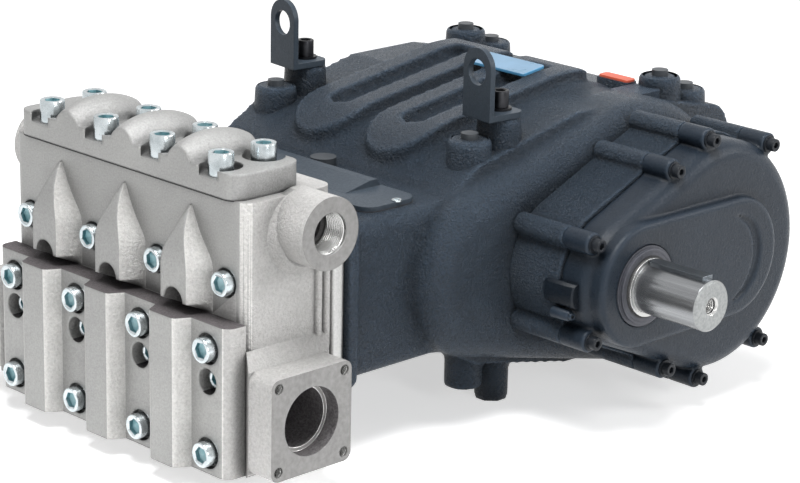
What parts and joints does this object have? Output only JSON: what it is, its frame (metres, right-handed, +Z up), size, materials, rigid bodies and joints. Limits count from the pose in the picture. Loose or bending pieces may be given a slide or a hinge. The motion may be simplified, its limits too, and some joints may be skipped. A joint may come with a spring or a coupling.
{
  "type": "plunger pump with gearbox",
  "caption": "High-pressure triplex plunger pump with a stainless fluid end, dark cast crankcase, side-mounted reduction gearbox, keyed input shaft and lifting brackets.",
  "frame": {"origin": "centre of the four foot bosses, on their lower faces", "axes": "+X along the crankshaft towards the gearbox and the free shaft end, +Y from the fluid end to the rear, +Z up"},
  "size_m": [0.615, 0.766, 0.364],
  "materials": {
    "stainless_casting": "shot-blasted stainless casting",
    "ground_steel": "ground bright steel",
    "key_steel": "drawn key steel",
    "seal_metal": "pressed steel seal case",
    "plug_plastic": "dark moulded plastic",
    "sight_window": "clear oil window",
    "painted_casting": "dark blue-grey satin paint on cast iron"
  },
  "bodies": {
    "housing": {"bearing_cover": "painted_casting", "crankcase": "painted_casting", "deck_cap": "plug_plastic", "deck_cover": "painted_casting", "front_boss_plug_left": "plug_plastic", "front_boss_plug_right": "plug_plastic", "front_valve_cover": "stainless_casting", "gearbox_cover": "painted_casting", "gearbox_housing": "painted_casting", "lifting_bracket_left": "painted_casting", "lifting_bracket_right": "painted_casting", "manifold_block": "stainless_casting", "packing_plate": "stainless_casting", "rear_boss_plug_left": "plug_plastic", "rear_boss_plug_right": "plug_plastic", "rear_cover": "painted_casting", "rear_lifting_plug_left": "plug_plastic", "rear_lifting_plug_right": "plug_plastic", "shaft_seal": "seal_metal", "sight_glass": "sight_window", "top_valve_cover": "stainless_casting"},
    "input": {"input_shaft": "ground_steel", "shaft_key": "key_steel"}
  },
  "joints": [
    {"name": "input_shaft_turn", "type": "hinge", "parent": "housing", "child": "input", "pos_m": [0.397, -0.093, 0.154], "axis": [1, 0, 0], "continuous": true}
  ]
}
